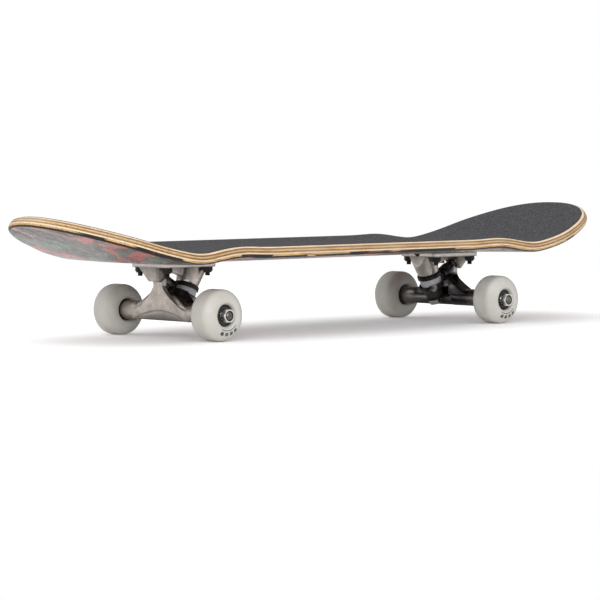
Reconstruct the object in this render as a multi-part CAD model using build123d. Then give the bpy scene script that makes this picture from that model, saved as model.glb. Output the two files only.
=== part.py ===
"""Skateboard: seven-ply kicktail deck, two kingpin trucks, four wheels on ball bearings."""

import os
from math import atan2, cos, exp, pi, radians, sin, sqrt, tan

from build123d import *

os.makedirs("parts", exist_ok=True)

# ---------------------------------------------------------------- driving dimensions (mm, degrees)
NOSE_LENGTH = 392.1
TAIL_LENGTH = 385.7
DECK_WIDTH = 196.8
TRUCK_CENTRE = -3.37
PLY_COUNT = 7
PLY_THICKNESS = 1.54
GLUE_LINE = 0.04
GRIP_THICKNESS = 0.8
GRIP_INSET = 1.2
NOSE_REACH = 121.5
NOSE_POWER = 2.26
TAIL_REACH = 137.5
TAIL_POWER = 1.95

CONCAVE_POWER = 2.3
CONCAVE_MIDDLE = 6.0
CONCAVE_TRUCK_RISE = 1.3
CONCAVE_KICK_DROP = 3.8
CONCAVE_KICK = 3.9
NOSE_KICK_START = 246.9
TAIL_KICK_START = 240.3
KICK_RADIUS = 190.0
NOSE_ANGLE = 21.3
TAIL_ANGLE = 19.2
NOSE_FLATTENING = 0.8
TAIL_FLATTENING = 0.5

AXLE_SPACING = 410.0
TRUCK_HEIGHT = 50.0
WHEEL_RADIUS = 26.0
WHEEL_WIDTH = 31.5
WHEEL_LIP = 11.5
WHEEL_TRACK = 150.0

HOLE_SPACING_X = 54.0
HOLE_SPACING_Y = 41.3
BOLT_RADIUS = 2.4
BOLT_HEAD_RADIUS = 4.5
BOLT_HEAD_DEPTH = 2.8
BOLT_LENGTH = 25.4
BOLT_CLEARANCE = 0.3
PLATE_LENGTH = 70.0
PLATE_WIDTH = 57.3
PLATE_THICKNESS = 4.5
PLATE_SETBACK = 10.0

AXLE_RADIUS = 3.97
AXLE_LENGTH = 190.0
HANGER_WIDTH = 124.0
TUBE_RADIUS = 9.8
KINGPIN_RADIUS = 4.75
KINGPIN_ANGLE = 22.0
KINGPIN_TOP = (-27.0, 52.0)
RING_DEPTH = 15.0
RING_THICKNESS = 7.0
RING_RADIUS = 13.2
PIVOT_CENTRE = (15.0, 65.7)
PIVOT_RADIUS = 4.45
CUP_RADIUS = 5.85

BEARING_BORE = 4.0
BEARING_RADIUS = 11.0
BEARING_WIDTH = 7.0
BEARING_GAP = 10.0
BALL_RADIUS = 1.984
BALL_PITCH_RADIUS = 7.5
BALLS = 7

# ---------------------------------------------------------------- derived sizes
DECK_BOTTOM = WHEEL_RADIUS + TRUCK_HEIGHT
DECK_THICKNESS = PLY_COUNT * PLY_THICKNESS + (PLY_COUNT - 1) * GLUE_LINE
HALF_WIDTH = DECK_WIDTH / 2
TRUCK_X = AXLE_SPACING / 2
AXLE_Z = WHEEL_RADIUS
ENDS = {"front": 1, "rear": -1}
SIDES = {"left": 1, "right": -1}


def save(shape, node):
    """Write one named piece; the origin is midway between nose and tail tips."""
    shape = Pos(TRUCK_CENTRE, 0, 0) * shape
    shape.label = node
    export_step(shape, f"parts/{node}.step")


def pieces(items):
    """Separate solids that share one node."""
    return Compound(children=list(items))


# ---------------------------------------------------------------- deck surface
def bump(x, centre, width):
    """Smooth hill of height one."""
    return exp(-(((x - centre) / width) ** 2))


def step(x, start, end):
    """Smooth rise from zero to one."""
    t = min(max((x - start) / (end - start), 0.0), 1.0)
    return t * t * (3 - 2 * t)


def kick_height(x):
    """Height of the deck's centre line above the flat middle."""
    angle = radians(NOSE_ANGLE if x > 0 else TAIL_ANGLE)
    run = abs(x) - (NOSE_KICK_START if x > 0 else TAIL_KICK_START)
    bend = KICK_RADIUS * sin(angle)
    if run <= 0:
        return 0.0
    if run <= bend:
        return KICK_RADIUS - sqrt(KICK_RADIUS**2 - run**2)
    return KICK_RADIUS * (1 - cos(angle)) + (run - bend) * tan(angle)


def concave(x):
    """Height of the rails above the centre line."""
    d = abs(x)
    level = CONCAVE_MIDDLE + (CONCAVE_KICK - CONCAVE_MIDDLE) * step(d, 200, 285)
    level += CONCAVE_TRUCK_RISE * bump(d, 186, 22)
    level -= CONCAVE_KICK_DROP * bump(d, 240, 28)
    flattening = NOSE_FLATTENING if x > 0 else TAIL_FLATTENING
    return level * (1 - flattening * step(d, 300, 370))


def deck_height(x, y):
    """Underside of the deck above the floor."""
    return DECK_BOTTOM + kick_height(x) + concave(x) * (abs(y) / HALF_WIDTH) ** CONCAVE_POWER


def deck_point(x, y, depth):
    """Point at a distance above the underside, measured square to it."""
    e = 0.5
    slope_x = (deck_height(x + e, y) - deck_height(x - e, y)) / (2 * e)
    slope_y = (deck_height(x, y + e) - deck_height(x, y - e)) / (2 * e)
    size = sqrt(1 + slope_x**2 + slope_y**2)
    return Vector(x - depth * slope_x / size, y - depth * slope_y / size, deck_height(x, y) + depth / size)


def deck_skin(depth):
    """Curved sheet through the deck, larger than its outline."""
    rows = []
    for i in range(-52, 53):
        rows.append([deck_point(8.2 * i, 7.6 * j, depth) for j in range(-15, 16)])
    return Face.make_surface_from_array_of_points(rows, tol=0.02, max_deg=5)


def tip_curve(length, reach, power, angle, inset, depth):
    """Half outline around one tip, leaning back with the kick."""
    half = HALF_WIDTH - inset
    straight = length - reach
    run = reach + (DECK_THICKNESS - depth) * sin(radians(angle)) - inset
    points = []
    for k in range(25):
        t = pi * k / 24 - pi / 2
        u = abs(cos(t)) ** (2 / power) * run
        v = abs(sin(t)) ** (2 / power) * half
        points.append((straight + u, v if k > 12 else -v))
    return points


def outline(inset, depth):
    """Plan outline of one layer."""
    nose = tip_curve(NOSE_LENGTH, NOSE_REACH, NOSE_POWER, NOSE_ANGLE, inset, depth)
    tail = tip_curve(TAIL_LENGTH, TAIL_REACH, TAIL_POWER, TAIL_ANGLE, inset, depth)
    tail = [(-x, -y) for x, y in tail]
    with BuildLine() as rim:
        Spline(*nose, tangents=[(1, 0), (-1, 0)])
        Line(nose[-1], tail[0])
        Spline(*tail, tangents=[(-1, 0), (1, 0)])
        Line(tail[-1], nose[0])
    return make_face(rim.line)


def bolt_places():
    """Plan positions of the eight mounting bolts."""
    places = []
    for end in ENDS.values():
        for dx in (-HOLE_SPACING_X / 2, HOLE_SPACING_X / 2):
            for dy in (-HOLE_SPACING_Y / 2, HOLE_SPACING_Y / 2):
                places.append((end * (TRUCK_X - PLATE_SETBACK) + dx, dy))
    return places


def grip_height(x, y):
    """Top of the grip tape."""
    return deck_height(x, y) + DECK_THICKNESS + GRIP_THICKNESS


def bolt_head(x, y, growth):
    """Flat countersunk head, or the space for one."""
    top = grip_height(x, y) - 0.15
    cone = Cone(BOLT_RADIUS + growth, BOLT_HEAD_RADIUS + growth, BOLT_HEAD_DEPTH - 0.5)
    rim = Cylinder(BOLT_HEAD_RADIUS + growth, 0.5 + 2 * growth)
    return Pos(x, y, top - 0.5 - (BOLT_HEAD_DEPTH - 0.5) / 2) * cone + Pos(x, y, top - 0.25 + growth) * rim


def bolt_space():
    """Everything the bolts need removed from the deck."""
    cuts = []
    for x, y in bolt_places():
        cuts.append(Pos(x, y, DECK_BOTTOM + 5) * Cylinder(BOLT_RADIUS + 0.35, 30))
        cuts.append(bolt_head(x, y, BOLT_CLEARANCE))
    return cuts


def build_deck():
    """Seven plies and the grip tape, each a curved slab inside its own outline."""
    rounding = (1.9, 0.6, 0.1, 0.0, 0.1, 0.6, 1.6)
    names = ("ply_7_bottom_face", "ply_6", "ply_5_cross", "ply_4_core", "ply_3_cross", "ply_2", "ply_1_top_face")
    cuts = bolt_space()
    layers = []
    for i, node in enumerate(names):
        low = i * (PLY_THICKNESS + GLUE_LINE)
        layers.append((node, low, low + PLY_THICKNESS, rounding[i]))
    layers.append(("grip_tape", DECK_THICKNESS + 0.02, DECK_THICKNESS + GRIP_THICKNESS, rounding[-1] + GRIP_INSET))
    for node, low, high, inset in layers:
        block = extrude(Pos(0, 0, DECK_BOTTOM - 20) * outline(inset, low), 120)
        above_low = extrude(deck_skin(low), 90, dir=(0, 0, 1))
        above_high = extrude(deck_skin(high), 90, dir=(0, 0, 1))
        slab = (block & above_low) - above_high
        save(slab - cuts, node)


def hexagon(flats, height):
    """Hexagonal block standing on its centre."""
    return extrude(RegularPolygon(flats / 2, 6, major_radius=False), height / 2, both=True)


def build_bolts():
    """Countersunk bolts with cross recesses, and their locking nuts."""
    bolts = []
    nuts = []
    for x, y in bolt_places():
        top = grip_height(x, y) - 0.15
        shank = Pos(x, y, top - BOLT_LENGTH / 2) * Cylinder(BOLT_RADIUS, BOLT_LENGTH)
        bolt = bolt_head(x, y, 0) + shank
        for turn in (0, 90):
            bolt = bolt - Pos(x, y, top) * Rot(0, 0, turn) * Box(5.0, 0.9, 3.0)
        bolts.append(bolt)
        seat = DECK_BOTTOM - PLATE_THICKNESS
        nut = Pos(x, y, seat - 2.2) * hexagon(9.5, 4.4)
        nut = nut + Pos(x, y, seat - 5.0) * Cylinder(4.2, 1.4)
        nuts.append(nut - Pos(x, y, seat - 3) * Cylinder(BOLT_RADIUS + 0.02, 12))
    save(pieces(bolts), "mounting_bolts")
    save(pieces(nuts), "mounting_nuts")


# ---------------------------------------------------------------- truck frames (x outward, z up)
def kingpin_frame():
    """Origin at the top washer, z up along the kingpin."""
    a = radians(KINGPIN_ANGLE)
    return Plane(origin=(KINGPIN_TOP[0], 0, KINGPIN_TOP[1]), x_dir=(cos(a), 0, sin(a)), z_dir=(-sin(a), 0, cos(a)))


def ring_centre():
    """Centre of the hanger's ring on the kingpin."""
    a = radians(KINGPIN_ANGLE)
    return (KINGPIN_TOP[0] + RING_DEPTH * sin(a), KINGPIN_TOP[1] - RING_DEPTH * cos(a))


def pivot_frame():
    """Origin at the pivot ball, z along the steering axis away from the ring."""
    rx, rz = ring_centre()
    a = atan2(PIVOT_CENTRE[1] - rz, PIVOT_CENTRE[0] - rx)
    return Plane(origin=(PIVOT_CENTRE[0], 0, PIVOT_CENTRE[1]), x_dir=(sin(a), 0, -cos(a)), z_dir=(cos(a), 0, sin(a)))


def on_kingpin(shape, top, height):
    """Place a centred shape so that it spans a depth range below the top washer."""
    return kingpin_frame() * Pos(0, 0, -(top + height / 2)) * shape


def turned(profile):
    """Solid of revolution about z from (radius, height) points."""
    section = Plane.XZ * make_face(Polyline(*profile, close=True))
    return revolve(section, Axis.Z, 360)


def side_slab(points, width):
    """Plate standing on its side, cut to an outline in x and z."""
    face = Plane.XZ * make_face(Polyline(*points, close=True))
    return extrude(face, width / 2, both=True)


def make_baseplate():
    """Cast plate with a kingpin boss and a pivot housing."""
    rim = RectangleRounded(PLATE_LENGTH, PLATE_WIDTH, 8.0)
    plate = extrude(Pos(-PLATE_SETBACK, 0, DECK_BOTTOM - PLATE_THICKNESS) * rim, PLATE_THICKNESS)
    king = kingpin_frame()
    boss = king * turned([(0, 1), (11.4, 1), (11.9, 3), (15.5, 27), (0, 27)])
    housing_top = Pos(14.0, 0, DECK_BOTTOM - PLATE_THICKNESS + 0.1) * RectangleRounded(22, 31, 3.0)
    mouth = pivot_frame() * Pos(1.1, 0, -5.0) * RectangleRounded(18.6, 16.4, 5.0)
    housing = loft([mouth.face(), housing_top.face()])
    housing = housing & Pos(14, 0, 57.2 + 10) * Box(60, 60, 20)
    rib = side_slab([(-22, 72.5), (-17, 62), (0, 68), (6, 72.5)], 7)
    body = plate + boss + housing + rib
    limit = Pos(-PLATE_SETBACK, 0, DECK_BOTTOM - 30) * extrude(rim, 30)
    body = body & limit
    for dx in (-HOLE_SPACING_X / 2, HOLE_SPACING_X / 2):
        for dy in (-HOLE_SPACING_Y / 2, HOLE_SPACING_Y / 2):
            body = body - Pos(dx - PLATE_SETBACK, dy, DECK_BOTTOM) * Cylinder(BOLT_RADIUS + 0.4, 20)
            body = body - Pos(dx - PLATE_SETBACK, dy, DECK_BOTTOM - PLATE_THICKNESS - 6) * Cylinder(6.2, 12)
    body = body - king * Pos(0, 0, 10) * Cylinder(KINGPIN_RADIUS + 0.05, 60)
    body = body - king * Pos(0, 0, 17.6 + 10) * Cylinder(8.9, 20)
    socket = Sphere(CUP_RADIUS + 0.05) + Pos(0, 0, -6) * Cylinder(CUP_RADIUS + 0.05, 12)
    return body - pivot_frame() * socket


def make_pivot_cup():
    """Urethane cup that holds the hanger's nose."""
    cup = Sphere(CUP_RADIUS) + Pos(0, 0, -2.8) * Cylinder(CUP_RADIUS, 5.6)
    hollow = Sphere(PIVOT_RADIUS + 0.3) + Pos(0, 0, -5) * Cone(PIVOT_RADIUS + 0.85, PIVOT_RADIUS + 0.3, 10)
    return pivot_frame() * (cup - hollow)


def make_kingpin():
    """Kingpin bolt: hexagonal head in the plate, shank down to the nut."""
    shank = on_kingpin(Cylinder(KINGPIN_RADIUS, 52.8), -18.0, 52.8)
    head = on_kingpin(hexagon(14.3, 5.6), -23.4, 5.6)
    return (shank + head) & Pos(-30, 0, DECK_BOTTOM - 30.3) * Box(90, 40, 60)


def make_kingpin_nut():
    """Thin hexagonal locking nut."""
    nut = hexagon(14.3, 5.5) & turned([(0, -3), (7.3, -3), (8.3, -2), (8.3, 2), (7.3, 3), (0, 3)])
    return on_kingpin(nut - Cylinder(KINGPIN_RADIUS + 0.02, 20), 28.5, 5.5)


def make_washer_top():
    """Cupped washer over the upper bushing."""
    cup = turned([(4.9, 0.9), (12.4, 0.9), (13.1, 0.2), (13.1, -3.4), (12.0, -3.4), (12.0, -0.8), (4.9, -0.8)])
    return kingpin_frame() * cup


def make_washer_bottom():
    """Flat cupped washer under the lower bushing."""
    cup = turned([(4.9, 0), (9.3, 0), (9.3, 1.5), (8.7, 1.5), (8.7, 1.2), (4.9, 1.2)])
    return kingpin_frame() * Pos(0, 0, -28.4) * cup


def make_bushing_top():
    """Barrel bushing between the plate and the ring."""
    barrel = [(4.9, -0.9), (11.4, -0.9), (11.8, -2.2), (11.8, -10.6), (11.0, -12.6), (4.9, -12.6)]
    return kingpin_frame() * turned(barrel)


def make_bushing_bottom():
    """Cone bushing between the ring and the nut."""
    cone = [(4.9, -17.4), (10.4, -17.4), (10.4, -20.0), (8.5, -27.1), (4.9, -27.1)]
    return kingpin_frame() * turned(cone)


def wing_edge(grow):
    """Concave edge of the hanger's triangular face, from the nose to the tube."""
    return [(6.0 + grow, 54.0), (13.0 + grow, 44.6), (22.5 + grow, 37.2), (31.5 + grow, 31.6), (43.5 + grow, 26.4)]


def front_slab(grow, bottom, near, far):
    """Hanger front outline with concave flanks, pushed from one x to another."""
    right = wing_edge(grow)
    left = [(-y, z) for y, z in reversed(right)]
    with BuildLine() as rim:
        Line((-6.0 - grow, 62), (6.0 + grow, 62))
        Line((6.0 + grow, 62), right[0])
        Spline(*right)
        Line(right[-1], (right[-1][0], bottom))
        Line((right[-1][0], bottom), (left[0][0], bottom))
        Line((left[0][0], bottom), left[0])
        Spline(*left)
        Line(left[-1], (-6.0 - grow, 62))
    face = Plane.YZ * make_face(rim.line)
    return extrude(Pos(near, 0, 0) * face, far - near)


def make_hanger():
    """Cast hanger: axle tube, triangular face, pivot nose, ring and hood."""
    tube = Pos(0, 0, AXLE_Z) * Rot(90, 0, 0) * Cylinder(TUBE_RADIUS, HANGER_WIDTH)
    face = side_slab([(12.9, 57.0), (8.8, 60.0), (5.6, 52.0), (4.0, 30.0), (3.0, 17.7), (8.8, 17.7), (10.1, 30.0)], 100)
    face = face & front_slab(0.0, 17.7, -40, 30)
    spine = side_slab([(12.6, 57.0), (6.5, 61.4), (-1, 55.0), (-10, 47.5), (-6, 34), (9, 30)], 13)
    hood = side_slab([(-35.4, 33.4), (-33.0, 39.2), (-6.0, 50.2), (3.0, 52.0), (9.0, 34.0), (8.0, 28.0), (-9.0, 28.0), (-21.0, 31.5)], 100)
    hood = hood & front_slab(7.0, 17.7, -40, 30)
    rx, rz = ring_centre()
    a = RING_RADIUS
    with BuildLine() as plan:
        Line((10, -47), (10, 47))
        Line((10, 47), (-8.0, 47))
        Spline((-8.0, 47), (-12.0, 27), (rx + 2, a), tangents=[(0, -1), (-1, -0.15)])
        Line((rx + 2, a), (rx - 1.5, a))
        ThreePointArc((rx - 1.5, a), (rx - 1.5 - a, 0), (rx - 1.5, -a))
        Line((rx - 1.5, -a), (rx + 2, -a))
        Spline((rx + 2, -a), (-12.0, -27), (-8.0, -47), tangents=[(1, -0.15), (0, -1)])
        Line((-8.0, -47), (10, -47))
    hood = hood & extrude(make_face(plan.line), 80)
    ring = on_kingpin(Cylinder(RING_RADIUS, RING_THICKNESS), RING_DEPTH - RING_THICKNESS / 2, RING_THICKNESS)
    neck = turned([(0, -26), (8.4, -26), (7.4, -14), (5.0, -8), (4.2, -4), (PIVOT_RADIUS - 0.15, 0), (0, 0)])
    nose = neck + Sphere(PIVOT_RADIUS)
    body = tube + face + spine + hood + ring + pivot_frame() * nose
    floor_cut = Pos(0, 0, 17.7 - 10) * Box(60, 96, 20)
    body = body - floor_cut
    arch = Pos(11.2, 0, -57.3) * Rot(0, 90, 0) * Cylinder(85, 8.0)
    body = body - arch
    body = body - on_kingpin(Cylinder(7.4, 30), 5, 30)
    body = body - on_kingpin(Cylinder(12.4, 8.0), RING_DEPTH - RING_THICKNESS / 2 - 6.8, 8.0)
    pocket = kingpin_frame() * Pos(-2.0, 0, -18.4 + 1.1 - 3.2) * Box(27.6, 34, 6.4)
    lower = kingpin_frame() * Pos(-9.7, 0, -34) * Box(40, 34, 27)
    body = body - pocket - lower
    body = body - Pos(0, 0, AXLE_Z) * Rot(90, 0, 0) * Cylinder(AXLE_RADIUS + 0.01, 200)
    return max(body.solids(), key=lambda part: part.volume)


def across(shape, y):
    """Place a z-axis shape on the axle line."""
    return Pos(0, y, AXLE_Z) * Rot(-90, 0, 0) * shape


def make_axle():
    """Axle rod with chamfered ends and thread runouts."""
    h = AXLE_LENGTH / 2
    r = AXLE_RADIUS
    half = [(0, 0), (r, 0), (r, h - 17), (r - 0.12, h - 16.8), (r - 0.12, h - 0.8), (r - 0.9, h), (0, h)]
    half_rod = turned(half)
    return across(half_rod + mirror(half_rod, Plane.XY), 0)


def make_axle_nuts():
    """Locking nuts on both axle ends."""
    nuts = []
    for side in SIDES.values():
        nut = hexagon(12.7, 6.2) & turned([(0, -3.2), (6.4, -3.2), (7.4, -2.3), (7.4, 2.3), (6.4, 3.2), (0, 3.2)])
        nuts.append(across(nut - Cylinder(AXLE_RADIUS, 20), side * (WHEEL_TRACK / 2 + 13.05 + 3.1)))
    return pieces(nuts)


def make_speed_washers():
    """Thin washers at both faces of every wheel."""
    washer = Cylinder(5.6, 0.96) - Cylinder(AXLE_RADIUS + 0.03, 3)
    offsets = [side * WHEEL_TRACK / 2 + w for side in SIDES.values() for w in (-12.5, 12.5)]
    return pieces([across(washer, y) for y in offsets])


def bearing_offsets(side):
    """Centres of the two bearings of one wheel along the axle."""
    middle = SIDES[side] * WHEEL_TRACK / 2
    reach = (BEARING_GAP + BEARING_WIDTH) / 2
    return [middle - reach, middle + reach]


def make_inner_races():
    """Grooved inner rings of a truck's four bearings."""
    h = BEARING_WIDTH / 2 - 0.01
    ring = turned([(BEARING_BORE, -h), (6.05, -h), (6.05, h), (BEARING_BORE, h)])
    ring = ring - Torus(BALL_PITCH_RADIUS, BALL_RADIUS + 0.06)
    return pieces([across(ring, y) for side in SIDES for y in bearing_offsets(side)])


def make_spacers():
    """Sleeves between the inner rings of each wheel."""
    sleeve = Cylinder(5.4, BEARING_GAP - 0.04) - Cylinder(AXLE_RADIUS + 0.05, 30)
    return pieces([across(sleeve, side * WHEEL_TRACK / 2) for side in SIDES.values()])


def make_outer_races(side):
    """Grooved outer rings of one wheel."""
    h = BEARING_WIDTH / 2 - 0.01
    ring = turned([(8.95, -h), (BEARING_RADIUS, -h), (BEARING_RADIUS, h), (8.95, h)])
    ring = ring - Torus(BALL_PITCH_RADIUS, BALL_RADIUS + 0.06)
    return pieces([across(ring, y) for y in bearing_offsets(side)])


def make_shields(side):
    """Dust shields pressed into both faces of each bearing."""
    parts = []
    for y in bearing_offsets(side):
        for w in (-3.2, 3.2):
            parts.append(across(Pos(0, 0, w) * (Cylinder(8.93, 0.4) - Cylinder(6.45, 2)), y))
    return pieces(parts)


def ball_angles():
    return [360 * k / BALLS for k in range(BALLS)]


def make_balls(side):
    """Seven balls in each bearing."""
    parts = []
    for y in bearing_offsets(side):
        for angle in ball_angles():
            parts.append(across(Rot(0, 0, angle) * Pos(BALL_PITCH_RADIUS, 0, 0) * Sphere(BALL_RADIUS), y))
    return pieces(parts)


def make_cages(side):
    """Crown cages that keep the balls apart."""
    cage = Pos(0, 0, 0.5) * (Cylinder(8.1, 3.4) - Cylinder(6.9, 5))
    for angle in ball_angles():
        cage = cage - Rot(0, 0, angle) * Pos(BALL_PITCH_RADIUS, 0, 0) * Sphere(BALL_RADIUS + 0.12)
        cage = cage - Rot(0, 0, angle) * Pos(BALL_PITCH_RADIUS, 0, -2) * Box(4, 2.4, 4)
    return pieces([across(cage, y) for y in bearing_offsets(side)])


def make_wheel(side):
    """Urethane wheel with rounded lips, dished faces and two bearing seats."""
    h = WHEEL_WIDTH / 2
    flat = h - WHEEL_LIP + 1.5
    r = WHEEL_RADIUS
    seat = BEARING_GAP / 2 + BEARING_WIDTH
    with BuildLine() as rim:
        Line((9.2, 0), (9.2, BEARING_GAP / 2))
        Line((9.2, BEARING_GAP / 2), (11.01, BEARING_GAP / 2))
        Line((11.01, BEARING_GAP / 2), (11.01, seat + 0.2))
        Spline((11.01, seat + 0.2), (12.2, h - 1.0), (14.6, h), tangents=[(0.2, 1), (1, 0)])
        Spline((14.6, h), (r - 4.1, h - 2.6), (r, flat), tangents=[(1, 0), (0, -1)])
        Line((r, flat), (r, 0))
        Line((r, 0), (9.2, 0))
    half = revolve(Plane.XZ * make_face(rim.line), Axis.Z, 360)
    return across(half + mirror(half, Plane.XY), SIDES[side] * WHEEL_TRACK / 2)


def build_truck(end):
    """All pieces of one truck, turned to its end of the deck."""
    place = Pos(ENDS[end] * TRUCK_X, 0, 0) * Rot(0, 0, 0 if end == "front" else 180)
    single = {
        "baseplate": make_baseplate,
        "pivot_cup": make_pivot_cup,
        "kingpin": make_kingpin,
        "kingpin_nut": make_kingpin_nut,
        "washer_top": make_washer_top,
        "washer_bottom": make_washer_bottom,
        "bushing_top": make_bushing_top,
        "bushing_bottom": make_bushing_bottom,
        "hanger": make_hanger,
        "axle": make_axle,
        "axle_nuts": make_axle_nuts,
        "speed_washers": make_speed_washers,
        "bearing_inner_races": make_inner_races,
        "bearing_spacers": make_spacers,
    }
    for name, make in single.items():
        save(place * make(), f"{name}_{end}")
    paired = {
        "wheel": make_wheel,
        "bearing_outer_races": make_outer_races,
        "bearing_shields": make_shields,
        "bearing_balls": make_balls,
        "bearing_cages": make_cages,
    }
    for name, make in paired.items():
        for side in SIDES:
            seen = side if end == "front" else {"left": "right", "right": "left"}[side]
            save(place * make(side), f"{name}_{end}_{seen}")


build_deck()
build_bolts()
for truck_end in ENDS:
    build_truck(truck_end)
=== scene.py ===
"""Skateboard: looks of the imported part, with a studio floor, lights and camera."""

from math import cos, exp, pi, radians, sin, sqrt, tan

import bpy
from mathutils import Matrix, Vector


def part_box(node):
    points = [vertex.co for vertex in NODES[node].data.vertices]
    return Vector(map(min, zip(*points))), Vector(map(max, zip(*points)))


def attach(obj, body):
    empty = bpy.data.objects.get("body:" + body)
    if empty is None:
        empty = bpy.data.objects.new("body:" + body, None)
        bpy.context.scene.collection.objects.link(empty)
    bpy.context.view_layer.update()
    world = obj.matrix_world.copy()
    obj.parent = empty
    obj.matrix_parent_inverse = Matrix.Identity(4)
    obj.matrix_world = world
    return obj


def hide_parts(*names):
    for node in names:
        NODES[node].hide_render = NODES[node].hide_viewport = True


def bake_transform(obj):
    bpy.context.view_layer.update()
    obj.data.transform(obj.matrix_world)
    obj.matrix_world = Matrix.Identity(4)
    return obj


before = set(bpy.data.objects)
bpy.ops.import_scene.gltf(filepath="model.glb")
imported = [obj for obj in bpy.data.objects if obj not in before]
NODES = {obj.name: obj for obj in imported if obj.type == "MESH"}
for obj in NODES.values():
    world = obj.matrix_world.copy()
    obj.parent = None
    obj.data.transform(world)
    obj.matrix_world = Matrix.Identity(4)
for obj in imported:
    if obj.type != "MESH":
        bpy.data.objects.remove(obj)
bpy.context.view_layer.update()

MM = 0.001

# ---------------------------------------------------------------- deck sizes (mm), as in the part
NOSE_LENGTH = 392.1
TAIL_LENGTH = 385.7
HALF_WIDTH = 98.4
TRUCK_CENTRE = -3.37
PLY = 1.54
GLUE = 0.04
DECK = 7 * PLY + 6 * GLUE
GRIP = 0.8
DECK_BOTTOM = 76.0
NOSE_REACH, NOSE_POWER, NOSE_ANGLE, NOSE_START, NOSE_FLAT = 121.5, 2.26, 21.3, 246.9, 0.8
TAIL_REACH, TAIL_POWER, TAIL_ANGLE, TAIL_START, TAIL_FLAT = 137.5, 1.95, 19.2, 240.3, 0.5
KICK_RADIUS = 190.0
CONCAVE_POWER = 2.3
CONCAVE_MIDDLE = 6.0
CONCAVE_TRUCK_RISE = 1.3
CONCAVE_KICK_DROP = 3.8
CONCAVE_KICK = 3.9
TOP_ROUND, TOP_POWER = 2.3, 4
BOTTOM_ROUND, BOTTOM_POWER = 3.4, 3.4
# Rows along each end and along the middle, and columns from the centre line to a rail.
END_ROWS, MIDDLE_ROWS, HALF_COLUMNS = 40, 70, 13

# ---------------------------------------------------------------- truck sizes (mm), as in the part
TRUCK_X = 205.0
AXLE_Z = 26.0
PLATE_SETBACK = 10.0
HOLE_HALF_X, HOLE_HALF_Y = 27.0, 20.65
SHANK_HOLE, HEAD_HOLE = 2.75, 4.8
SINK_START, SINK_END = 9.17, 11.47
KINGPIN_ANGLE = 22.0
KINGPIN_TOP_X, KINGPIN_TOP_Z = -27.0, 52.0
ARCH_RADIUS, ARCH_CENTRE_Z = 85.0, -57.3

# ---------------------------------------------------------------- where colours and painted light change (mm)
# Hanger: distance of the core with painted reflections from the board's centre line, of the side
# with painted shade and of the outer face from the axle, with that side's shift at the core, and
# height of the axle tube's painted shade.
CORE_EDGE, CORE_FULL = 56.0, 38.0
INNER_EDGE, INNER_FULL = 4.0, 2.0
CORE_SHIFT = 3.5
OUTER_FACE = 4.5
TUBE_SHADE_TOP, TUBE_SHADE_FULL = 23.0, 17.5
# Baseplate: heights of the painted shade under the plate, and of the painted highlight on the plate's lip.
SHADE_LOW, SHADE_HIGH = 58.0, 72.0
LIP_LOW, LIP_HIGH = 72.3, 72.9
# Truck bolts: height where the bright heads start, and the cross recess, drawn as painted shade.
HEAD_LOW = 83.8
RECESS_HALF_WIDTH, RECESS_REACH = 0.6, 2.1
# Axle nuts: the dark collar at the tip.
COLLAR_Y, COLLAR_RADIUS = 93.6, 5.2
# Wheels: distance of the outer face from the middle, the row of blocks, and the arc.
WHEEL_FACE = 8.0
BLOCK_RADIUS, BLOCK_HALF = 18.6, 1.7
ARC_RADIUS, ARC_HALF = 14.9, 0.4
# Blocks in a full turn, and the sector in radians that shows them.
BLOCKS_ROUND = 19
MARK_ANGLE, MARK_REACH = -1.38, 0.68


def bump(x, centre, width):
    """1 at the centre, falling smoothly to 0 on both sides."""
    return exp(-(((x - centre) / width) ** 2))


def step(x, start, end):
    """0 before the start, 1 after the end, smooth between."""
    t = min(max((x - start) / (end - start), 0.0), 1.0)
    return t * t * (3 - 2 * t)


def kick_height(x):
    """Rise of the nose or tail at x: flat, then an arc, then straight."""
    angle = radians(NOSE_ANGLE if x > 0 else TAIL_ANGLE)
    run = abs(x) - (NOSE_START if x > 0 else TAIL_START)
    bend = KICK_RADIUS * sin(angle)
    if run <= 0:
        return 0.0
    if run <= bend:
        return KICK_RADIUS - sqrt(KICK_RADIUS**2 - run**2)
    return KICK_RADIUS * (1 - cos(angle)) + (run - bend) * tan(angle)


def concave(x):
    """How far the rails stand above the centre line at x."""
    d = abs(x)
    level = CONCAVE_MIDDLE + (CONCAVE_KICK - CONCAVE_MIDDLE) * step(d, 200, 285)
    level += CONCAVE_TRUCK_RISE * bump(d, 186, 22)
    level -= CONCAVE_KICK_DROP * bump(d, 240, 28)
    flattening = NOSE_FLAT if x > 0 else TAIL_FLAT
    return level * (1 - flattening * step(d, 300, 370))


def deck_height(x, y):
    """Height of the underside."""
    return DECK_BOTTOM + kick_height(x) + concave(x) * (abs(y) / HALF_WIDTH) ** CONCAVE_POWER


def deck_point(x, y, depth):
    """Point at a distance above the underside, square to it, in metres."""
    e = 0.5
    slope_x = (deck_height(x + e, y) - deck_height(x - e, y)) / (2 * e)
    slope_y = (deck_height(x, y + e) - deck_height(x, y - e)) / (2 * e)
    size = sqrt(1 + slope_x**2 + slope_y**2)
    out = depth / size
    place = (x - out * slope_x + TRUCK_CENTRE, y - out * slope_y, deck_height(x, y) + out)
    return Vector(place) * MM


def rounding(depth):
    """How far the rail pulls in at a depth above the underside."""
    half = DECK / 2
    t = (depth - half) / half
    if t > 0:
        return TOP_ROUND * min(t, 1.08) ** TOP_POWER
    return BOTTOM_ROUND * abs(t) ** BOTTOM_POWER


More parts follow.
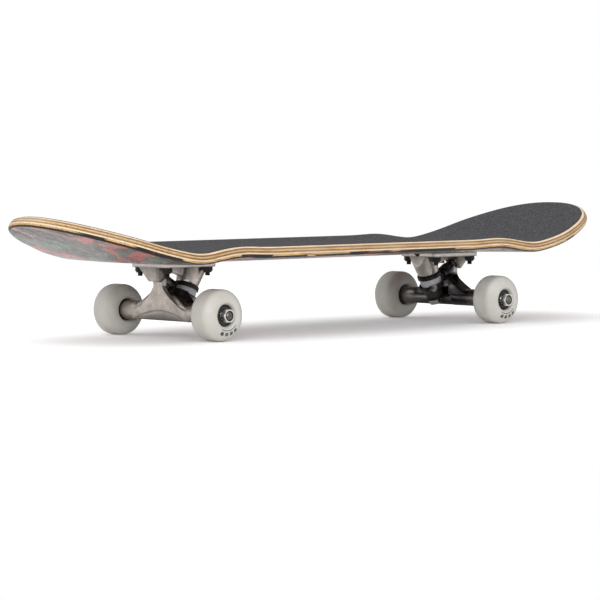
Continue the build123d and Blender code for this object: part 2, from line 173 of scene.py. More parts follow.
def stations(depth, inset):
    """Rows across the deck: x and half width, from tail tip to nose tip."""
    half = HALF_WIDTH - inset
    rows = []
    for length, reach, power, angle, end in (
        (TAIL_LENGTH, TAIL_REACH, TAIL_POWER, TAIL_ANGLE, -1),
        (NOSE_LENGTH, NOSE_REACH, NOSE_POWER, NOSE_ANGLE, 1),
    ):
        run = reach + (DECK - depth) * sin(radians(angle)) - inset
        straight = length - reach
        part = []
        for k in range(END_ROWS + 1):
            t = pi / 2 * (k / END_ROWS) ** 1.25
            x = end * (straight + cos(t) ** (2 / power) * run)
            part.append((x, sin(t) ** (2 / power) * half))
        rows.append(part)
    tail, nose = rows[0], rows[1][::-1]
    middle = []
    for k in range(1, MIDDLE_ROWS):
        x = tail[-1][0] + (nose[0][0] - tail[-1][0]) * k / MIDDLE_ROWS
        middle.append((x, half))
    return tail + middle + nose


COLUMNS = [sin(pi / 2 * j / HALF_COLUMNS) for j in range(-HALF_COLUMNS, HALF_COLUMNS + 1)]


def new_mesh(name, verts, faces, smooth=True):
    mesh = bpy.data.meshes.new(name)
    mesh.from_pydata([tuple(v) for v in verts], [], faces)
    mesh.validate()
    mesh.update()
    obj = bpy.data.objects.new(name, mesh)
    bpy.context.scene.collection.objects.link(obj)
    if smooth:
        mesh.polygons.foreach_set("use_smooth", [True] * len(mesh.polygons))
    return obj


def layer(name, low, high, levels, extra=0.0):
    """Closed slab between two depths, with a rounded rim."""
    depths = [low + (high - low) * k / levels for k in range(levels + 1)]
    verts = []
    faces = []
    rims = []
    grids = {}
    for d in depths:
        rows = stations(d, rounding(d) + extra)
        whole = d in (depths[0], depths[-1])
        grid = []
        for x, half in rows:
            columns = COLUMNS if whole else (-1.0, 1.0)
            # The tip of the nose or tail is a single point.
            if half < 1e-6:
                columns = (0.0,)
            line = []
            for c in columns:
                line.append(len(verts))
                verts.append(deck_point(x, c * half, d))
            grid.append(line)
        rims.append([line[-1] for line in grid] + [line[0] for line in grid[-2:0:-1]])
        if whole:
            grids[d] = grid
    for lower, upper in zip(rims, rims[1:]):
        n = len(lower)
        for k in range(n):
            m = (k + 1) % n
            faces.append((lower[m], lower[k], upper[k], upper[m]))
    for d, flip in ((depths[0], True), (depths[-1], False)):
        grid = grids[d]
        for a, b in zip(grid, grid[1:]):
            for j in range(len(COLUMNS) - 1):
                if len(a) == 1:
                    quad = (a[0], b[j], b[j + 1])
                elif len(b) == 1:
                    quad = (a[j], b[0], a[j + 1])
                else:
                    quad = (a[j], b[j], b[j + 1], a[j + 1])
                faces.append(quad if not flip else quad[::-1])
    return new_mesh(name, verts, faces)


# ---------------------------------------------------------------- materials
class Nodes:
    """Short ways to add nodes to a material's or a world's node tree."""

    def __init__(self, tree):
        self.tree = tree

    def node(self, kind, values=None, **props):
        made = self.tree.nodes.new("ShaderNode" + kind)
        for key, value in props.items():
            setattr(made, key, value)
        for key, value in (values or {}).items():
            self.put(made.inputs[key], value)
        return made

    def put(self, socket, value):
        if isinstance(value, bpy.types.NodeSocket):
            self.tree.links.new(value, socket)
        else:
            socket.default_value = value

    def ramp(self, source, *stops):
        made = self.node("ValToRGB", {"Fac": source})
        points = made.color_ramp.elements
        while len(points) < len(stops):
            points.new(0.5)
        for point, (place, value) in zip(points, stops):
            point.position = place
        for point, (place, value) in zip(points, stops):
            point.color = (value, value, value, 1) if isinstance(value, (int, float)) else (*value, 1)
        return made.outputs["Color"]

    def mix(self, factor, a, b, mode="MIX"):
        made = self.node("Mix", data_type="RGBA", blend_type=mode)
        for socket, value in zip((made.inputs[0], made.inputs[6], made.inputs[7]), (factor, a, b)):
            if isinstance(value, tuple) and len(value) == 3:
                value = (*value, 1)
            self.put(socket, value)
        return made.outputs[2]

    def calc(self, operation, a, b=0.0, c=0.0):
        return self.node("Math", {0: a, 1: b, 2: c}, operation=operation).outputs[0]

    def spread(self, value, low, high, bottom=0.0, top=1.0):
        """The bottom at the low value, changing evenly to the top at the high value."""
        values = {"Value": value, "From Min": low, "From Max": high, "To Min": bottom, "To Max": top}
        return self.node("MapRange", values).outputs["Result"]

    def by_ray(self, seen, others):
        """One shader for what the camera sees directly, the other for the light that it gives."""
        direct = self.node("LightPath").outputs["Is Camera Ray"]
        return self.node("MixShader", {0: direct, 1: others.outputs[0], 2: seen.outputs[0]}).outputs[0]


class Look(Nodes):
    """A Principled material with procedural nodes."""

    def __init__(self, name, rough=0.5, metal=0.0, **sockets):
        self.mat = bpy.data.materials.new(name)
        self.mat.use_nodes = True
        super().__init__(self.mat.node_tree)
        self.shader = self.tree.nodes["Principled BSDF"]
        self.shader.inputs["Roughness"].default_value = rough
        self.shader.inputs["Metallic"].default_value = metal
        for key, value in sockets.items():
            self.shader.inputs[key.replace("_", " ")].default_value = value
        self.coords = self.node("TexCoord").outputs["Object"]

    def place(self, stretch=(1, 1, 1), shift=(0, 0, 0)):
        values = {"Vector": self.coords, "Scale": stretch, "Location": shift}
        return self.node("Mapping", values).outputs["Vector"]

    def noise(self, scale, detail=3.0, rough=0.5, stretch=(1, 1, 1), shift=(0, 0, 0), warp=0.0):
        values = {"Vector": self.place(stretch, shift), "Scale": scale, "Detail": detail}
        values.update({"Roughness": rough, "Distortion": warp})
        return self.node("TexNoise", values).outputs["Fac"]

    def axes(self):
        """Object coordinates as three separate values."""
        return tuple(self.node("SeparateXYZ", {"Vector": self.coords}).outputs)

    def fade(self, length, start, end, top=1.0):
        """0 where a length is at the start (mm), rising evenly to the top at the end (mm)."""
        return self.spread(length, start * MM, end * MM, top=top)

    def from_axis(self, a, b):
        """Distance from an axis, out of two offsets square to it."""
        squares = self.calc("MULTIPLY", a, a), self.calc("MULTIPLY", b, b)
        return self.calc("SQRT", self.calc("ADD", *squares))

    def within(self, value, centre, half):
        """1 where a value is less than half away from the centre, else 0."""
        return self.calc("LESS_THAN", self.calc("ABSOLUTE", self.calc("SUBTRACT", value, centre)), half)

    def colour(self, value):
        self.put(self.shader.inputs["Base Color"], value)

    def roughness(self, value):
        self.put(self.shader.inputs["Roughness"], value)

    def relief(self, height, distance, strength=1.0, below=None):
        values = {"Height": height, "Distance": distance, "Strength": strength}
        if below is not None:
            values["Normal"] = below
        made = self.node("Bump", values).outputs["Normal"]
        self.put(self.shader.inputs["Normal"], made)
        return made


def srgb(*values):
    """Linear colour from 0-255 screen values."""
    return tuple((v / 255 / 12.92) if v < 10.3 else ((v / 255 + 0.055) / 1.055) ** 2.4 for v in values)


def make_grip():
    k = Look("grip_tape_grit", rough=0.85)
    coarse = k.noise(420, 2, 0.6)
    fine = k.noise(1500, 2, 0.6)
    patch = k.noise(9, 3, 0.5)
    base = k.ramp(coarse, (0.36, srgb(14, 14, 17)), (0.52, srgb(36, 36, 40)), (0.68, srgb(94, 94, 101)))
    base = k.mix(0.35, base, k.ramp(fine, (0.38, srgb(11, 11, 14)), (0.62, srgb(92, 92, 98))))
    k.colour(k.mix(k.ramp(patch, (0.35, 0.0), (0.75, 0.2)), base, srgb(56, 55, 59)))
    k.roughness(k.ramp(fine, (0.4, 0.95), (0.64, 0.5)))
    k.relief(k.mix(0.5, coarse, fine), 0.0006, 0.9)
    return k.mat


def make_maple(name, light, dark, cross):
    """Maple with its grain along the board, or with end grain at the rails on a cross ply."""
    k = Look(name, rough=0.55, Coat_Weight=0.15, Coat_Roughness=0.3)
    grain = k.noise(1.0, 4, 0.6, stretch=(60, 900, 900) if not cross else (700, 700, 900))
    streak = k.noise(1.0, 3, 0.5, stretch=(9, 120, 240) if not cross else (240, 240, 240), warp=0.4)
    tone = k.noise(14, 2, 0.5)
    base = k.ramp(grain, (0.35, dark), (0.6, light))
    base = k.mix(k.ramp(streak, (0.45, 0.0), (0.75, 0.45)), base, dark)
    k.colour(k.mix(k.ramp(tone, (0.4, 0.0), (0.7, 0.25)), base, srgb(226, 205, 176)))
    k.roughness(k.ramp(grain, (0.3, 0.7), (0.7, 0.45)))
    k.relief(grain, 0.00012, 0.6)
    return k.mat


def make_painted(name, wood, bare):
    """Black lacquer over a lower ply's edge, chipped through to wood and coloured paint."""
    k = Look(name, rough=0.45, Coat_Weight=0.1, Coat_Roughness=0.3, Specular_IOR_Level=0.35)
    wide = k.noise(11, 2, 0.5, shift=(5, 2, 0), warp=0.5)
    chips = k.noise(90, 4, 0.7)
    grain = k.noise(1.0, 4, 0.6, stretch=(60, 900, 900))
    timber = k.mix(k.ramp(grain, (0.35, 0.0), (0.6, 1.0)), srgb(140, 108, 76), wood)
    base = k.ramp(chips, (0.3, srgb(16, 15, 14)), (0.6, srgb(34, 30, 26)), (0.7, srgb(120, 76, 62)))
    k.colour(k.mix(k.ramp(wide, (bare - 0.01, 0.0), (bare + 0.01, 1.0)), base, timber))
    k.roughness(k.ramp(chips, (0.3, 0.4), (0.7, 0.65)))
    k.relief(chips, 0.0002, 0.5)
    return k.mat


def make_printed():
    """Abstract soft blots under gloss lacquer."""
    k = Look("printed_underside", rough=0.4, Coat_Weight=0.08, Coat_Roughness=0.25, Specular_IOR_Level=0.3)
    wide = k.noise(8, 3, 0.5, warp=0.9)
    other = k.noise(13, 4, 0.6, shift=(3, 1, 0), warp=1.6)
    third = k.noise(15, 3, 0.55, shift=(7, 4, 0), warp=1.0)
    veins = k.noise(26, 3, 0.6, shift=(1, 8, 0), warp=2.0)
    base = k.ramp(wide, (0.38, srgb(34, 34, 37)), (0.5, srgb(84, 83, 84)), (0.6, srgb(116, 117, 116)))
    base = k.mix(k.ramp(third, (0.54, 0.0), (0.6, 0.75)), base, srgb(98, 124, 104))
    base = k.mix(k.ramp(other, (0.53, 0.0), (0.57, 0.9)), base, srgb(192, 110, 108))
    line = k.ramp(veins, (0.48, 0.0), (0.5, 1.0), (0.52, 0.0))
    near_blot = k.ramp(other, (0.48, 0.0), (0.56, 0.8))
    base = k.mix(k.calc("MULTIPLY", line, near_blot), base, srgb(206, 132, 124))
    scuff = k.noise(1.0, 4, 0.7, stretch=(60, 260, 260))
    k.colour(k.mix(k.ramp(scuff, (0.64, 0.0), (0.76, 0.4)), base, srgb(150, 144, 138)))
    k.roughness(k.ramp(scuff, (0.4, 0.24), (0.72, 0.5)))
    k.relief(scuff, 0.0001, 0.3)
    return k.mat


def shade_hanger(k, end, base, finish):
    """Painted shade and reflection streaks on the glossier kingpin side; painted highlight on the arch
    edge, painted shade on the facet below and low on the tube.
    """
    x, y, z = k.axes()
    out = k.calc("MULTIPLY_ADD", x, float(end), -(TRUCK_X + end * TRUCK_CENTRE) * MM)
    core = k.fade(k.calc("ABSOLUTE", y), CORE_EDGE, CORE_FULL)
    depth = k.calc("MULTIPLY_ADD", core, -CORE_SHIFT * MM, out)
    inner = k.fade(depth, INNER_EDGE, INNER_FULL)
    # Painted shade: the side towards the kingpin is darker.
    base = k.mix(k.calc("MULTIPLY", inner, 0.75), base, srgb(118, 113, 109))
    # Painted reflections: dark and light streaks over the core of that side.
    streak = k.noise(1.0, 3, 0.5, stretch=(80, 14, 130), warp=0.6)
    tones = srgb(40, 39, 40), srgb(76, 74, 74), srgb(132, 129, 127)
    dark = k.calc("MULTIPLY", inner, core)
    base = k.mix(dark, base, k.ramp(streak, *zip((0.4, 0.52, 0.66), tones)))
    outer = k.calc("GREATER_THAN", out, OUTER_FACE * MM)
    arc = k.calc("SQRT", k.calc("SUBTRACT", (ARCH_RADIUS * MM) ** 2, k.calc("MULTIPLY", y, y)))
    under = k.calc("SUBTRACT", k.calc("ADD", arc, ARCH_CENTRE_Z * MM), z)
    below_arch = k.calc("MULTIPLY", under, 100.0)  # 1 at 10 mm below the arch
    # Painted highlight: a light line along the arch on the outer face.
    edge = k.ramp(below_arch, (0.0, 0.0), (0.03, 0.9), (0.09, 0.0))
    base = k.mix(k.calc("MULTIPLY", outer, edge), base, srgb(236, 232, 227))
    # Painted shade: the facet below the arch on the outer face is darker.
    facet = k.ramp(below_arch, (0.08, 0.0), (0.4, 0.6), (0.9, 0.95))
    base = k.mix(k.calc("MULTIPLY", outer, facet), base, srgb(112, 108, 104))
    # Painted shade: the axle tube is darker low down.
    low = k.fade(z, TUBE_SHADE_TOP, TUBE_SHADE_FULL)
    base = k.mix(k.calc("MULTIPLY", low, 0.7), base, srgb(96, 92, 89))
    finish = k.mix(inner, finish, (0.3, 0.3, 0.3))
    finish = k.mix(dark, finish, (0.15, 0.15, 0.15))
    return base, finish, inner


def shade_plate(k, base):
    """Painted shade, darker up towards the plate's underside, and a painted highlight on the plate's lip.
    """
    z = k.axes()[2]
    # Painted highlight on the plate's lip.
    lip = k.fade(z, LIP_LOW, LIP_HIGH)
    # Painted shade, growing up towards the plate's underside, but not on the lip.
    under = k.fade(z, SHADE_LOW, SHADE_HIGH, 0.75)
    shade = k.calc("MULTIPLY", under, k.calc("SUBTRACT", 1.0, lip))
    base = k.mix(shade, base, srgb(122, 117, 113))
    return k.mix(k.calc("MULTIPLY", lip, 0.6), base, srgb(228, 224, 219))


def make_cast(name, end=0, rough=0.36):
    """Tumbled cast alloy, for the hanger at an end of the board or for the baseplates, with painted shade
    and highlights added by shade_hanger or shade_plate.
    """
    k = Look(name, rough=rough, metal=0.92)
    mottle = k.noise(130, 4, 0.6)
    grain = k.noise(1400, 3, 0.6)
    broad = k.noise(45, 2, 0.5, shift=(2, 0, 0))
    tones = srgb(178, 169, 160), srgb(202, 195, 188), srgb(220, 215, 209)
    base = k.ramp(mottle, *zip((0.3, 0.55, 0.74), tones))
    base = k.mix(k.ramp(broad, (0.45, 0.0), (0.7, 0.4)), base, srgb(180, 170, 160))
    finish = k.ramp(k.mix(0.5, mottle, grain), (0.35, rough + 0.12), (0.65, rough - 0.03))
    bumps = mottle
    if end:
        base, finish, inner = shade_hanger(k, end, base, finish)
        bumps = k.calc("MULTIPLY", mottle, k.calc("MULTIPLY_ADD", inner, -0.7, 1.0))
    else:
        base = shade_plate(k, base)
    k.colour(base)
    k.roughness(finish)
    first = k.relief(bumps, 0.0004, 0.3)
    k.relief(grain, 0.0002, 0.3 if end else 0.4, first)
    return k.mat


def make_metal(name, dark, light, rough, turned=False, metal=1.0):
    k = Look(name, rough=rough, metal=metal)
    scratch = k.noise(1.0, 3, 0.6, stretch=(900, 60 if turned else 900, 900))
    stain = k.noise(90, 4, 0.6)
    k.colour(k.mix(k.ramp(stain, (0.42, 0.0), (0.68, 0.8)), light, dark))
    k.roughness(k.ramp(scratch, (0.3, max(rough - 0.1, 0.05)), (0.7, rough + 0.14)))
    k.relief(scratch, 0.00008, 0.5)
    return k.mat


def make_rubber(name, dark, light, rough=0.55):
    k = Look(name, rough=rough)
    grain = k.noise(700, 3, 0.6)
    stain = k.noise(60, 3, 0.5)
    k.colour(k.mix(k.ramp(stain, (0.4, 0.0), (0.7, 1.0)), dark, light))
    k.roughness(k.ramp(grain, (0.3, rough - 0.12), (0.7, rough + 0.12)))
    k.relief(grain, 0.0001, 0.5)
    return k.mat


def make_wheel(name, centre):
    """Cast urethane; a plain arc and a row of blocks are stamped on the outer face."""
    k = Look(name, rough=0.42, Subsurface_Weight=0.25, Subsurface_Scale=0.004)
    k.shader.inputs["Subsurface Radius"].default_value = (1.0, 0.8, 0.6)
    x, y, z = k.axes()
    x = k.calc("SUBTRACT", x, centre.x)
    z = k.calc("SUBTRACT", z, centre.z)
    radius = k.from_axis(x, z)
    angle = k.calc("ARCTAN2", z, x)
    outer = k.calc("GREATER_THAN", k.calc("ABSOLUTE", y), abs(centre.y) + WHEEL_FACE * MM)
    bars = k.calc("GREATER_THAN", k.calc("SINE", k.calc("MULTIPLY", angle, BLOCKS_ROUND)), -0.45)
    blocks = k.calc("MULTIPLY", bars, k.within(radius, BLOCK_RADIUS * MM, BLOCK_HALF * MM))
    mark = k.calc("MAXIMUM", blocks, k.within(radius, ARC_RADIUS * MM, ARC_HALF * MM))
    mark = k.calc("MULTIPLY", mark, k.within(angle, MARK_ANGLE, MARK_REACH))
    worn = k.ramp(k.noise(900, 3, 0.6), (0.3, 0.4), (0.45, 0.95))
    mark = k.calc("MULTIPLY", k.calc("MULTIPLY", mark, outer), worn)
    cloud = k.noise(50, 3, 0.5)
    dust = k.noise(500, 3, 0.6)
    base = k.mix(k.ramp(cloud, (0.4, 0.0), (0.7, 1.0)), srgb(201, 199, 193), srgb(192, 190, 182))
    base = k.mix(k.ramp(dust, (0.6, 0.0), (0.75, 0.3)), base, srgb(178, 172, 162))
    k.colour(k.mix(mark, base, srgb(34, 33, 34)))
    k.roughness(k.ramp(dust, (0.3, 0.34), (0.7, 0.56)))
    k.relief(dust, 0.0001, 0.4)
    return k.mat


def repaint(node, mat):
    slots = NODES[node].data.materials
    slots.clear()
    slots.append(mat)


# ---------------------------------------------------------------- deck pieces
maple = make_maple("maple_face", srgb(240, 216, 184), srgb(205, 174, 136), False)
brown = make_maple("maple_cross", srgb(150, 114, 76), srgb(104, 72, 44), True)
golden = make_maple("maple_core", srgb(216, 178, 128), srgb(172, 132, 86), False)
dipped = make_painted("dipped_edge", srgb(226, 196, 154), 0.66)
worn = make_painted("worn_edge", srgb(218, 178, 118), 0.47)
printed = make_printed()
grip = make_grip()

PLIES = (
    ("ply_7_bottom_face", "printed_maple", printed),
    ("ply_6", "maple", worn),
    ("ply_5_cross", "maple_cross", maple),
    ("ply_4_core", "maple", brown),
    ("ply_3_cross", "maple_cross", golden),
    ("ply_2", "maple", brown),
    ("ply_1_top_face", "maple", maple),
)


def bolt_places():
    places = []
    for end in (1, -1):
        for dx in (-HOLE_HALF_X, HOLE_HALF_X):
            for dy in (-HOLE_HALF_Y, HOLE_HALF_Y):
                places.append((end * (TRUCK_X - PLATE_SETBACK) + dx, dy))
    return places


def spun(name, profile, origin, axis, segments):
    """Mesh of revolution from (radius, height) points about an axis, in metres."""
    axis = Vector(axis).normalized()
    side = axis.orthogonal().normalized()
    other = axis.cross(side)
    verts = []
    faces = []
    n = len(profile)
    for k in range(segments):
        a = 2 * pi * k / segments
        ray = side * cos(a) + other * sin(a)
        for r, h in profile:
            verts.append(Vector(origin) + ray * r + axis * h)
    for k in range(segments):
        m = (k + 1) % segments
        for i in range(n):
            j = (i + 1) % n
            faces.append((k * n + i, m * n + i, m * n + j, k * n + j))
    return new_mesh(name, verts, faces)


def bolt_cutter():
    """Countersinks and shank holes for every bolt, as one mesh."""
    verts = []
    faces = []
    sides = 28
    # Radius and height above the underside; the first and last ring clear both faces.
    rings = ((SHANK_HOLE, -4.0), (SHANK_HOLE, SINK_START), (HEAD_HOLE, SINK_END), (HEAD_HOLE, 16.0))
    for x, y in bolt_places():
        base = deck_height(x, y)
        start = len(verts)
        for r, h in rings:
            for k in range(sides):
                a = 2 * pi * k / sides
                verts.append(Vector((x + TRUCK_CENTRE + r * cos(a), y + r * sin(a), base + h)) * MM)
        last = len(rings) - 1
        for i in range(last):
            low = start + sides * i
            high = low + sides
            for k in range(sides):
                m = (k + 1) % sides
                faces.append((low + k, low + m, high + m, high + k))
        faces.append(tuple(start + sides - 1 - k for k in range(sides)))
        faces.append(tuple(start + sides * last + k for k in range(sides)))
    return new_mesh("bolt_cutter", verts, faces, smooth=False)


def cut(obj, cutter):
    change = obj.modifiers.new("holes", "BOOLEAN")
    change.operation = "DIFFERENCE"
    change.solver = "EXACT"
    change.object = cutter
    bpy.context.view_layer.objects.active = obj
    bpy.ops.object.modifier_apply(modifier=change.name)


cutter = bolt_cutter()
for i, (node, slot, mat) in enumerate(PLIES):
    low = i * (PLY + GLUE)
    obj = layer(node + "_shaped", low, low + PLY, 4)
    obj.data.materials.append(mat)
    if i == 0:
        # The print is on the flat underside only; the rim is painted black.
        obj.data.materials.append(dipped)
        for face in obj.data.polygons:
            face.material_index = 0 if face.normal.z < -0.8 else 1
    cut(obj, cutter)
    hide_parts(node)
    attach(obj, "deck")
obj = layer("grip_sheet", DECK + 0.02, DECK + GRIP, 2, 0.35)
obj.data.materials.append(grip)
cut(obj, cutter)
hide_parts("grip_tape")
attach(obj, "deck")
bpy.data.objects.remove(cutter)

# ---------------------------------------------------------------- truck and wheel finishes
# The plate's material carries painted shade under the plate and a painted highlight on its lip.
cast = make_cast("cast_plate", rough=0.27)
# The hanger materials carry painted shade, painted reflections and a painted highlight.
hanger_cast = {"front": make_cast("cast_hanger_front", 1), "rear": make_cast("cast_hanger_rear", -1)}
zinc = make_metal("zinc_plate", srgb(150, 148, 144), srgb(214, 214, 212), 0.24)
steel = make_metal("axle_steel", srgb(78, 73, 67), srgb(138, 131, 122), 0.3, turned=True)
race = make_metal("race_steel", srgb(170, 170, 170), srgb(226, 226, 226), 0.14, turned=True)
black = make_metal("black_steel", srgb(20, 20, 21), srgb(38, 37, 37), 0.34, metal=0.6)
shield = make_rubber("shield_black", srgb(30, 30, 32), srgb(44, 44, 46), 0.45)
cage = make_rubber("cage_nylon", srgb(46, 44, 42), srgb(60, 58, 54), 0.5)
urethane = make_rubber("bushing_urethane", srgb(176, 177, 182), srgb(198, 198, 202), 0.4)
# Partly painted shade: the bottom bushing is black urethane, a colour that also stands in for the shade
# inside the hanger's ring.
painted_shade_urethane = make_rubber("bushing_black_painted_shade", srgb(26, 26, 27), srgb(40, 40, 41), 0.45)
cup = make_rubber("cup_urethane", srgb(34, 34, 35), srgb(50, 50, 51), 0.5)
dark_race = make_metal("race_dark", srgb(30, 30, 31), srgb(64, 63, 63), 0.3, turned=True)


def make_bolts():
    """Bright countersunk heads with a cross recess above, drawn as painted shade with a shallow bump,
    black shanks below.
    """
    k = Look("bolt_steel", rough=0.3, metal=0.95)
    x, y, z = k.axes()
    head = k.calc("GREATER_THAN", z, HEAD_LOW * MM)
    stain = k.noise(300, 3, 0.6)
    bright = k.ramp(stain, (0.35, srgb(150, 148, 146)), (0.65, srgb(222, 221, 219)))
    dull = k.ramp(stain, (0.35, srgb(18, 18, 19)), (0.65, srgb(44, 43, 42)))
    x = k.calc("ABSOLUTE", k.calc("SUBTRACT", x, TRUCK_CENTRE * MM))
    x = k.calc("ABSOLUTE", k.calc("SUBTRACT", x, (TRUCK_X - PLATE_SETBACK) * MM))
    x = k.calc("ABSOLUTE", k.calc("SUBTRACT", x, HOLE_HALF_X * MM))
    y = k.calc("ABSOLUTE", k.calc("SUBTRACT", k.calc("ABSOLUTE", y), HOLE_HALF_Y * MM))
    slots = []
    for a, b in ((x, y), (y, x)):
        wide = k.calc("LESS_THAN", a, RECESS_HALF_WIDTH * MM)
        slots.append(k.calc("MULTIPLY", wide, k.calc("LESS_THAN", b, RECESS_REACH * MM)))
    # Painted shade: the cross recess is coloured dark, besides a shallow bump.
    cross = k.calc("MULTIPLY", head, k.calc("MAXIMUM", *slots))
    k.colour(k.mix(cross, k.mix(head, dull, bright), srgb(38, 37, 36)))
    k.roughness(k.ramp(stain, (0.3, 0.22), (0.7, 0.4)))
    k.relief(k.calc("SUBTRACT", stain, cross), 0.0002, 0.4)
    return k.mat


def make_nyloc():
    """Zinc locking nut with a dark nylon collar at the outer end."""
    k = Look("nyloc_zinc", rough=0.22, metal=0.95)
    x, y, z = k.axes()
    z = k.calc("SUBTRACT", z, AXLE_Z * MM)
    front = k.calc("GREATER_THAN", x, TRUCK_CENTRE * MM)
    centre = k.calc("MULTIPLY_ADD", front, 2 * TRUCK_X * MM, (TRUCK_CENTRE - TRUCK_X) * MM)
    radius = k.from_axis(k.calc("SUBTRACT", x, centre), z)
    tip = k.calc("GREATER_THAN", k.calc("ABSOLUTE", y), COLLAR_Y * MM)
    collar = k.calc("MULTIPLY", tip, k.calc("LESS_THAN", radius, COLLAR_RADIUS * MM))
    stain = k.noise(500, 3, 0.6)
    bright = k.ramp(stain, (0.35, srgb(196, 196, 194)), (0.65, srgb(236, 236, 234)))
    k.colour(k.mix(collar, bright, srgb(42, 42, 44)))
    k.roughness(k.ramp(stain, (0.3, 0.16), (0.7, 0.3)))
    k.relief(stain, 0.0001, 0.4)
    return k.mat


bolts = make_bolts()
nyloc = make_nyloc()

FINISH = {
    "mounting_bolts": bolts,
    "mounting_nuts": black,
    "baseplate": cast,
    "pivot_cup": cup,
    "kingpin_nut": zinc,
    "kingpin": zinc,
    "washer_top": black,
    "washer_bottom": black,
    "axle_nuts": nyloc,
    "axle": steel,
    "speed_washers": zinc,
    "bearing_inner_races": race,
    "bearing_outer_races": dark_race,
    "bearing_spacers": steel,
    "bearing_shields": shield,
    "bearing_balls": race,
    "bearing_cages": cage,
}
for node in NODES:
    # Longer names first, so that a kingpin's nut isn't taken for the kingpin.
    for prefix in sorted(FINISH, key=len, reverse=True):
        if node.startswith(prefix):
            repaint(node, FINISH[prefix])
            break

ENDS = {"front": 1, "rear": -1}
# Voxel size in metres and smoothing rounds, which soften the corners like a casting's.
SKINS = {"hanger_": (0.0006, 7), "baseplate_": (0.00055, 3)}
for end in ENDS:
    repaint("hanger_" + end, hanger_cast[end])
    for part, (voxel, rounds) in SKINS.items():
        changes = NODES[part + end].modifiers
        weld = changes.new("weld", "WELD")
        weld.merge_threshold = 0.00001
        skin = changes.new("cast_skin", "REMESH")
        skin.mode = "VOXEL"
        skin.voxel_size = voxel
        skin.use_smooth_shade = True
        soften = changes.new("cast_fillets", "SMOOTH")
        soften.factor = 0.5
        soften.iterations = rounds


def kingpin_line(end, depth):
    """Point on the kingpin at a depth (mm) below the middle of the top washer, in metres."""
    a = radians(KINGPIN_ANGLE)
    x = KINGPIN_TOP_X + depth * sin(a)
    z = KINGPIN_TOP_Z - depth * cos(a)
    return Vector((TRUCK_CENTRE + ENDS[end] * (TRUCK_X + x), 0, z)) * MM


def make_bushing(end, part, profile, mat):
    """Urethane bushing turned about the kingpin, between the plate and the hanger."""
    a = radians(KINGPIN_ANGLE)
    up_axis = (-ENDS[end] * sin(a), 0, cos(a))
    outline = [(r * MM, h * MM) for r, h in profile]
    obj = spun(part + "_" + end + "_urethane", outline, kingpin_line(end, 0), up_axis, 72)
    obj.data.materials.append(mat)
    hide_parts(part + "_" + end)
    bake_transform(obj)


# Radius and height (mm) along the kingpin, from the middle of the top washer.
BARREL_TOP, BARREL_LOW = -0.9, -12.6
BARREL = (
    (4.9, BARREL_TOP), (10.6, BARREL_TOP), (11.3, -1.4), (11.7, -2.6), (11.8, -4.6), (11.8, -8.2),
    (11.7, -10.2), (11.4, -11.6), (10.8, -12.4), (9.8, BARREL_LOW), (4.9, BARREL_LOW),
)
CONE_TOP, CONE_LOW = -17.4, -27.1
CONE = (
    (4.9, CONE_TOP), (9.6, CONE_TOP), (10.2, -17.7), (10.4, -18.6), (10.3, -20.0),
    (9.5, -23.5), (8.7, -26.2), (8.2, -26.9), (7.4, CONE_LOW), (4.9, CONE_LOW),
)
for end in ENDS:
    make_bushing(end, "bushing_top", BARREL, urethane)
    make_bushing(end, "bushing_bottom", CONE, painted_shade_urethane)

for node in NODES:
    if node.startswith("wheel_"):
        low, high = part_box(node)
        repaint(node, make_wheel(node + "_urethane", (low + high) / 2))

# ---------------------------------------------------------------- studio, in metres
FLOOR_RADIUS, FLOOR_SIDES, FLOOR_Z = 1.3, 64, -0.0003
# Radii and middle of the painted shadow ellipse on the floor, in metres.
PAINTED_SHADOW_X, PAINTED_SHADOW_Y = 0.46, 0.27
PAINTED_SHADOW_PLACE = (0.06, -0.08)
rim = []
for k in range(FLOOR_SIDES):
    a = 2 * pi * k / FLOOR_SIDES
    rim.append((FLOOR_RADIUS * cos(a), FLOOR_RADIUS * sin(a), FLOOR_Z))
floor = new_mesh("floor", rim, [tuple(range(FLOOR_SIDES))])
ground = Look("floor_paper", rough=0.9)
paper = ground.ramp(ground.noise(3, 2), (0.3, srgb(250, 250, 250)), (0.7, srgb(253, 253, 253)))
# Painted shadow: the paper is darker in a wide soft ellipse round the board, besides the real shadow.
shift = (-PAINTED_SHADOW_PLACE[0] / PAINTED_SHADOW_X, -PAINTED_SHADOW_PLACE[1] / PAINTED_SHADOW_Y, 0)
oval = ground.place((1 / PAINTED_SHADOW_X, 1 / PAINTED_SHADOW_Y, 1), shift)
reach = ground.node("VectorMath", {0: oval}, operation="LENGTH").outputs["Value"]
# Painted shadow: darkest in the middle of the ellipse.
painted_shadow = ground.ramp(reach, (0.1, 0.79), (0.55, 0.88), (1.0, 1.0))
ground.colour(ground.mix(1.0, paper, painted_shadow, "MULTIPLY"))
ground.relief(ground.noise(400, 2), 0.00005, 0.2)
ground.shader.inputs["Emission Color"].default_value = (1, 1, 1, 1)
ground.shader.inputs["Emission Strength"].default_value = 0.2
# What is seen directly is the bright paper; the light that it throws back is a little dimmer.
bounce = ground.node("BsdfDiffuse", {"Color": (0.92, 0.91, 0.9, 1)})
both = ground.by_ray(ground.shader, bounce)
ground.put(ground.tree.nodes["Material Output"].inputs["Surface"], both)
floor.data.materials.append(ground.mat)

world = bpy.data.worlds.new("studio")
bpy.context.scene.world = world
world.use_nodes = True
world.node_tree.nodes.clear()
sky = Nodes(world.node_tree)
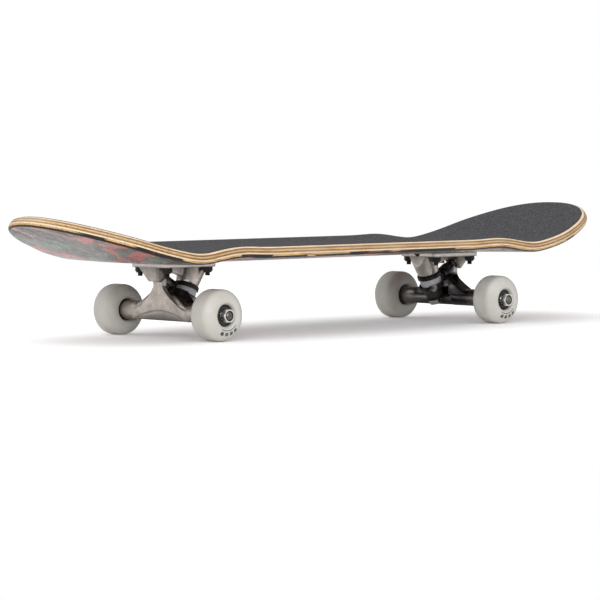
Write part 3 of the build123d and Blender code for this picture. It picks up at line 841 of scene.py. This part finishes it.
# The room is brightest overhead, dimmer at table height, and darker away from the key lamp.
ray = sky.node("TexCoord").outputs["Generated"]
height = sky.spread(sky.node("SeparateXYZ", {"Vector": ray}).outputs["Z"], -1.0, 1.0)
tone = sky.ramp(height, (0.0, 0.8), (0.47, 0.8), (0.5, 0.66), (0.6, 0.76), (0.85, 1.0))
facing = sky.node("VectorMath", {0: ray, 1: (-0.72, -0.62, 0.3)}, operation="DOT_PRODUCT")
side = sky.spread(facing.outputs["Value"], -0.75, 0.2, bottom=0.34)
light = sky.node("Background", {"Color": sky.mix(1.0, tone, side, "MULTIPLY")})
seen = sky.node("Background", {"Color": (1, 1, 1, 1)})
sky.node("OutputWorld", {"Surface": sky.by_ray(seen, light)})


def lamp(name, place, target, size, energy):
    data = bpy.data.lights.new(name, "AREA")
    data.shape = "RECTANGLE"
    data.size, data.size_y = size
    data.energy = energy
    obj = bpy.data.objects.new(name, data)
    obj.location = place
    obj.rotation_euler = (Vector(target) - Vector(place)).to_track_quat("-Z", "Y").to_euler()
    bpy.context.scene.collection.objects.link(obj)


lamp("overhead", (-0.8, 0.4, 2.2), (0, 0, 0), (3.8, 3.8), 25)
lamp("key", (-3.2, -3.1, 1.7), (0.1, 0, 0.05), (2.5, 1.7), 78)

bpy.context.scene.view_settings.view_transform = "Standard"

# ---------------------------------------------------------------- camera
azimuth, elevation, roll = radians(-43.846), radians(3.1325), radians(-0.054)
forward = Vector((-sin(azimuth) * cos(elevation), cos(azimuth) * cos(elevation), -sin(elevation)))
right = Vector((cos(azimuth), sin(azimuth), 0))
up = right.cross(forward)
right, up = right * cos(roll) + up * sin(roll), up * cos(roll) - right * sin(roll)
data = bpy.data.cameras.new("camera")
data.sensor_width = 36
data.lens = 167.95
data.clip_end = 60
camera = bpy.data.objects.new("camera", data)
spot = Vector((-2.05898 + TRUCK_CENTRE * MM, -2.12432, 0.19209))
turn = Matrix((right, up, -forward)).transposed().to_4x4()
camera.matrix_world = Matrix.Translation(spot) @ turn
bpy.context.scene.collection.objects.link(camera)
bpy.context.scene.camera = camera
